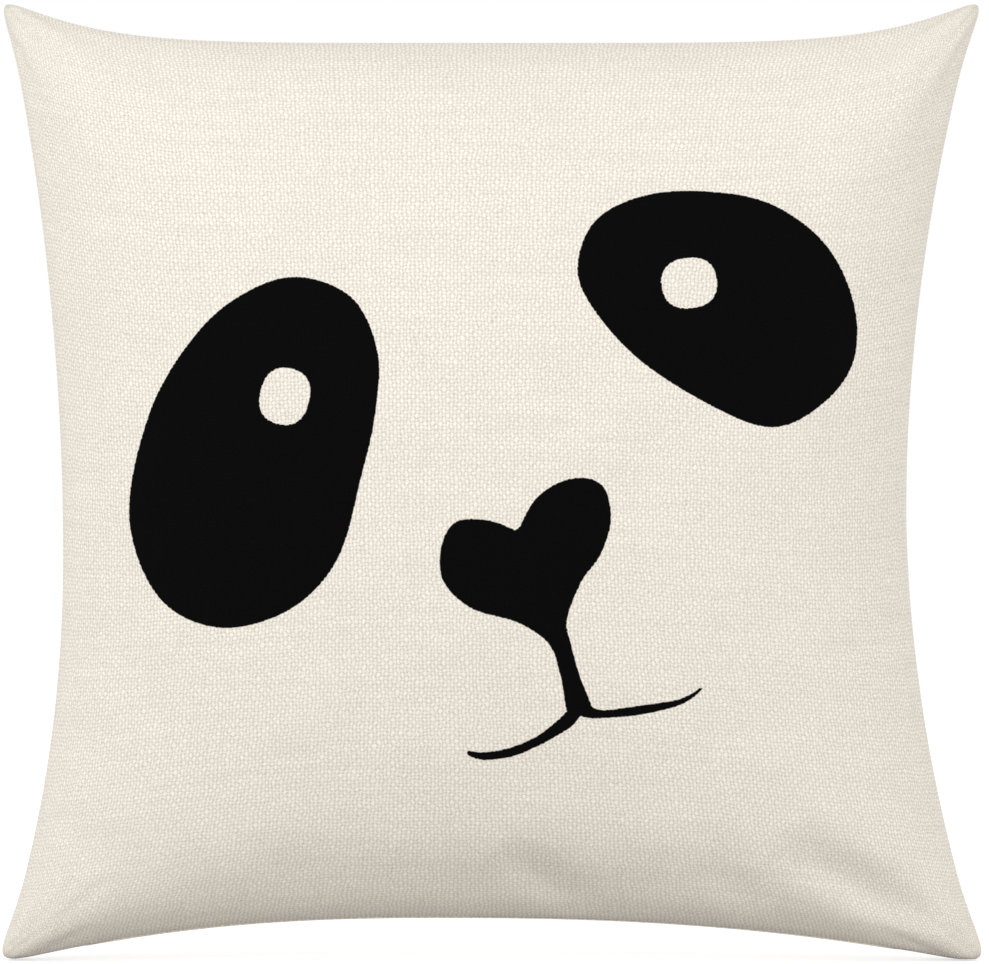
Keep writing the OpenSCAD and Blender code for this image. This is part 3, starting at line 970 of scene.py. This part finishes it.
class CUSHION_OT_stage(bpy.types.Operator):
    """Pale floor, white surroundings, soft studio light and the camera"""

    bl_idname = "cushion.stage"
    bl_label = "Stage"

    def execute(self, context):
        stage = context.scene.cushion_stage
        context.scene.view_settings.view_transform = "Standard"
        set_world(stage.room_light)
        add_floor()
        for name, place, power in (
            ("key", (-1.75, -1.8, 0.95), stage.key_power),
            ("fill", (1.95, -1.55, 0.7), stage.fill_power),
            ("back", (0.7, 2.1, 1.2), stage.back_power),
        ):
            add_light(name, place, power, stage)
        add_camera(context.scene, stage)
        return {"FINISHED"}


def set_world(strength):
    """Even light all round, and plain white wherever the camera, a reflection or glass sees it."""
    world = bpy.data.worlds.new("room")
    bpy.context.scene.world = world
    world.use_nodes = True
    tree = world.node_tree
    tree.nodes.clear()
    out = tree.nodes.new("ShaderNodeOutputWorld")
    path = tree.nodes.new("ShaderNodeLightPath")
    seen = tree.nodes.new("ShaderNodeMath")
    seen.operation = "MAXIMUM"
    tree.links.new(path.outputs["Is Camera Ray"], seen.inputs[0])
    tree.links.new(path.outputs["Is Glossy Ray"], seen.inputs[1])
    also = tree.nodes.new("ShaderNodeMath")
    also.operation = "MAXIMUM"
    tree.links.new(seen.outputs[0], also.inputs[0])
    tree.links.new(path.outputs["Is Transmission Ray"], also.inputs[1])
    level = tree.nodes.new("ShaderNodeMapRange")
    tree.links.new(also.outputs[0], level.inputs["Value"])
    level.inputs["To Min"].default_value = strength
    level.inputs["To Max"].default_value = 1.0
    light = tree.nodes.new("ShaderNodeBackground")
    light.inputs["Color"].default_value = (1, 1, 1, 1)
    tree.links.new(level.outputs["Result"], light.inputs["Strength"])
    tree.links.new(light.outputs[0], out.inputs["Surface"])


def add_floor():
    """A wide white floor. For the camera it has a glow of its own under the light that falls on it, so
    it is white where it is lit, and the cushion's soft shadow stays."""
    corners = FLOOR_HALF * np.array([[-1, -1, 0], [1, -1, 0], [1, 1, 0], [-1, 1, 0]])
    floor = new_piece("floor", corners, [[0, 1, 2, 3]], smooth=False)
    n = Nodes("white_floor")
    path = n.tree.nodes.new("ShaderNodeLightPath")
    seen = n.math("MAXIMUM", path.outputs["Is Camera Ray"], path.outputs["Is Glossy Ray"])
    seen = n.math("MAXIMUM", seen, path.outputs["Is Transmission Ray"])
    glow = n.tree.nodes.new("ShaderNodeEmission")
    n.put(glow.inputs["Strength"], n.math("MULTIPLY", seen, FLOOR_GLOW))
    matt = n.tree.nodes.new("ShaderNodeBsdfDiffuse")
    matt.inputs["Color"].default_value = (0.6, 0.6, 0.6, 1)
    both = n.tree.nodes.new("ShaderNodeAddShader")
    n.tree.links.new(matt.outputs[0], both.inputs[0])
    n.tree.links.new(glow.outputs[0], both.inputs[1])
    n.tree.links.new(both.outputs[0], n.out.inputs["Surface"])
    floor.data.materials.append(n.material)


def add_light(name, place, power, stage):
    """A large square soft light that looks at the cushion's middle."""
    lamp = bpy.data.lights.new(name, "AREA")
    lamp.size = LIGHT_SIZE
    lamp.energy = power
    light = bpy.data.objects.new(name, lamp)
    bpy.context.scene.collection.objects.link(light)
    light.location = place
    aim = Vector((0, 0, stage.view_z)) - light.location
    light.rotation_euler = aim.to_track_quat("-Z", "Y").to_euler()


def add_camera(scene, stage):
    camera = bpy.data.cameras.new("camera")
    camera.sensor_width = 36.0
    camera.lens = camera.sensor_width * stage.camera_distance / stage.view_width
    camera.clip_start = 0.05
    view = bpy.data.objects.new("camera", camera)
    scene.collection.objects.link(view)
    view.location = (stage.view_x, -stage.camera_distance, stage.view_z)
    view.rotation_euler = (math.radians(90), 0, 0)
    scene.camera = view


class CUSHION_OT_cover(bpy.types.Operator):
    """The two panels of the cover, stretched over the insert, with the face printed on the front one"""

    bl_idname = "cushion.cover"
    bl_label = "Cover"

    def execute(self, context):
        shape = context.scene.cushion_shape
        cloth = context.scene.cushion_cloth
        front = build_panel("cover_front_panel", shape, 11, True)
        dress(front, woven_cloth("printed_linen_weave", cloth, True))
        back = build_panel("cover_back_panel", shape, 29, False)
        dress(back, woven_cloth("linen_weave", cloth, False))
        for panel, node in ((front, "cover_front"), (back, "cover_back")):
            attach(panel, "cushion")
            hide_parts(node)
        return {"FINISHED"}


CASING_IN, CASING_THINNER = 15 * MM, 3 * MM  # how far inside the cover's edge and face the casing lies
FILL_IN, FILL_THINNER = 17 * MM, 5 * MM


class CUSHION_OT_insert(bpy.types.Operator):
    """The inner cushion: its sewn casing and the fibre inside it"""

    bl_idname = "cushion.insert"
    bl_label = "Insert"

    def execute(self, context):
        shape = context.scene.cushion_shape
        casing = build_insert("cushion_insert", shape, CASING_IN, CASING_THINNER, 90)
        dress(casing, fine_cloth("casing_cloth", (0.9, 0.9, 0.9), 0.6 * MM))
        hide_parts("insert_casing_front", "insert_casing_back")
        fill = build_insert("fibre_filling", shape, FILL_IN, FILL_THINNER, 60)
        dress(fill, lofty_fibre("lofty_fibre"))
        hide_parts("insert_fill")
        for piece in (casing, fill):
            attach(piece, "cushion")
        return {"FINISHED"}


def build_insert(name, shape, inset, thinner, cells):
    """A closed, crowned form inside the cover: front and back grids that meet along one seam, above the
    zip. Its half thickness is the cover's, less a clearance, rounded over towards the edge, and it dips
    where the cover's folds do."""
    rows = cells + 1
    front = panel_grid(cells, shape, inset, thinner)
    s = np.linspace(-1, 1, rows)
    a, b = np.meshgrid(s, s)
    ring = np.maximum(np.abs(a), np.abs(b))
    front[..., 1] *= (1 - ring**8) ** 0.25
    floor = TAPE_HIGH.z + inset / 6
    low = front[0, :, 2][None, :]
    top = front[-1, :, 2][None, :]
    share = (front[..., 2] - low) / (top - low)
    front[..., 2] = mix(np.maximum(low, floor), top, share)
    front[..., 1] = np.minimum(front[..., 1] + soft_folds(front)[..., 1], 0)
    back = flipped(front)
    points = np.concatenate([front.reshape(-1, 3), back.reshape(-1, 3)])
    edge = loop_indices(rows)
    same = np.arange(2 * rows * rows)
    same[edge + rows * rows] = edge
    quads = np.concatenate([grid_quads(rows), same[grid_quads(rows, rows * rows)[:, ::-1]]])
    used, renumbered = np.unique(quads, return_inverse=True)
    return new_piece(name, points[used], renumbered.reshape(-1, 4))


class CUSHION_OT_zip(bpy.types.Operator):
    """Finishes of the zip's pieces; each coil gets a mesh of its own."""

    bl_idname = "cushion.zip"
    bl_label = "Zip"

    def execute(self, context):
        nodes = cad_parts
        tape = fine_cloth("zip_tape_weave", (0.86, 0.82, 0.74), 0.5 * MM)
        coil = nylon_coil("nylon_coil")
        metal = plated_metal("plated_metal")
        for name in ("zip_tape_front", "zip_tape_back"):
            dress(nodes[name], tape)
        for name in ("zip_coil_front", "zip_coil_back"):
            dress(nodes[name], coil)
            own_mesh(nodes[name])
        for name in ("zip_top_stops", "zip_bottom_stop", "zip_slider", "zip_pull"):
            dress(nodes[name], metal)
        return {"FINISHED"}


class CUSHION_OT_sewing(bpy.types.Operator):
    """The lockstitch of the seam, the overlocked edge inside it and the rows that hold the zip"""

    bl_idname = "cushion.sewing"
    bl_label = "Sewing"

    def execute(self, context):
        shape = context.scene.cushion_shape
        sewing = context.scene.cushion_sewing
        thread = twisted_thread("sewing_thread", (0.84, 0.79, 0.7), sewing.thread)
        bound = twisted_thread("overlock_thread", (0.87, 0.83, 0.75), sewing.thread)
        for name, node, made, finish, slot in (
            ("seam_lockstitch", "seam_thread", lockstitch(shape, sewing), thread, "sewing_thread"),
            ("seam_overlock", "overlock_edge", overlock(shape, sewing), bound, "overlock_thread"),
            ("zip_stitch_rows", "zip_stitching", zip_rows(sewing), thread, "sewing_thread"),
        ):
            piece = new_piece(name, *made)
            dress(piece, finish)
            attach(piece, "cushion")
            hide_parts(node)
        return {"FINISHED"}


def lockstitch(shape, sewing):
    """The seam's two threads, one on each allowance. Each stands on its cloth and dips to the middle at
    every needle hole, where the two interlock."""
    path, inwards, place = along_seam(shape, sewing.stitch_in, sewing.pitch / STEPS_A_STITCH)
    stand = (SEAM_GAP + CLOTH + sewing.thread / 2) * stitched(place, sewing.pitch)
    runs = []
    for side in (-1, 1):
        run = path.copy()
        run[:, 1] = side * np.maximum(stand, sewing.thread / 4)
        runs.append(tube(run, inwards, sewing.thread / 2, THREAD_SIDES))
    return joined(runs)


def overlock(shape, sewing):
    """The overlock thread goes to and fro over the raw edges: out along the front allowance, round both
    edges and along the back one, and back again, half a stitch further on."""
    inset = shape.seam_allowance + sewing.thread
    path, inwards, place = along_seam(shape, inset, sewing.pitch / (2 * STEPS_A_STITCH))
    sway = np.abs((place / sewing.pitch) % 2 - 1) * 2 - 1
    reach, stand = sewing.overlock_width, SEAM_GAP + CLOTH + sewing.thread / 2
    turns = np.array([-1, -0.3, -0.15, 0, 0.15, 0.3, 1])
    back = np.interp(sway, turns, np.array([-1, -0.12, -0.03, 0, -0.03, -0.12, -1]) * reach)
    path = path + inwards * back[:, None]
    path[:, 1] = np.interp(sway, turns, np.array([-1, -1, -0.7, 0, 0.7, 1, 1]) * stand)
    return tube(path, inwards, sewing.thread / 2, THREAD_SIDES)


def zip_rows(sewing):
    """A row of stitches along each zip tape, on the face towards the coils."""
    ends = TAPE_HIGH.x - 2 * MM
    place = np.arange(0, 2 * ends, sewing.pitch / STEPS_A_STITCH)
    height = mix(TAPE_LOW.z, TAPE_HIGH.z, 0.6)
    stand = sewing.thread * (stitched(place, sewing.pitch) - 0.5)
    upright = np.tile([0.0, 0.0, 1.0], (len(place), 1))
    runs = []
    for side in (-1, 1):
        y = side * (-TAPE_HIGH.y - stand)
        run = np.stack([place - ends, y, np.full(len(place), height)], axis=-1)
        runs.append(tube(run, upright, sewing.thread / 2, THREAD_SIDES))
    return joined(runs)


class CUSHION_PT_panel(bpy.types.Panel):
    """Lists the cushion's settings and the steps that build it"""

    bl_idname = "CUSHION_PT_panel"
    bl_label = "Cushion"
    bl_space_type = "VIEW_3D"
    bl_region_type = "UI"
    bl_category = "Cushion"

    def draw(self, context):
        for group, kind in GROUPS.items():
            box = self.layout.box()
            for name in kind.__annotations__:
                box.prop(getattr(context.scene, group), name)
        for step in STEPS:
            self.layout.operator(step.bl_idname)


GROUPS = {
    "cushion_shape": CushionShape,
    "cushion_sewing": CushionSewing,
    "cushion_cloth": CushionCloth,
    "cushion_stage": CushionStage,
}
STEPS = (CUSHION_OT_stage, CUSHION_OT_cover, CUSHION_OT_insert, CUSHION_OT_zip, CUSHION_OT_sewing)


def register():
    for name, group in GROUPS.items():
        bpy.utils.register_class(group)
        setattr(bpy.types.Scene, name, PointerProperty(type=group))
    for cls in STEPS + (CUSHION_PT_panel,):
        bpy.utils.register_class(cls)


def unregister():
    for cls in reversed(STEPS + (CUSHION_PT_panel,)):
        bpy.utils.unregister_class(cls)
    for name, group in GROUPS.items():
        delattr(bpy.types.Scene, name)
        bpy.utils.unregister_class(group)


def main():
    register()
    bpy.ops.cushion.stage()
    bpy.ops.cushion.cover()
    bpy.ops.cushion.insert()
    bpy.ops.cushion.zip()
    bpy.ops.cushion.sewing()


if __name__ == "__main__":
    main()
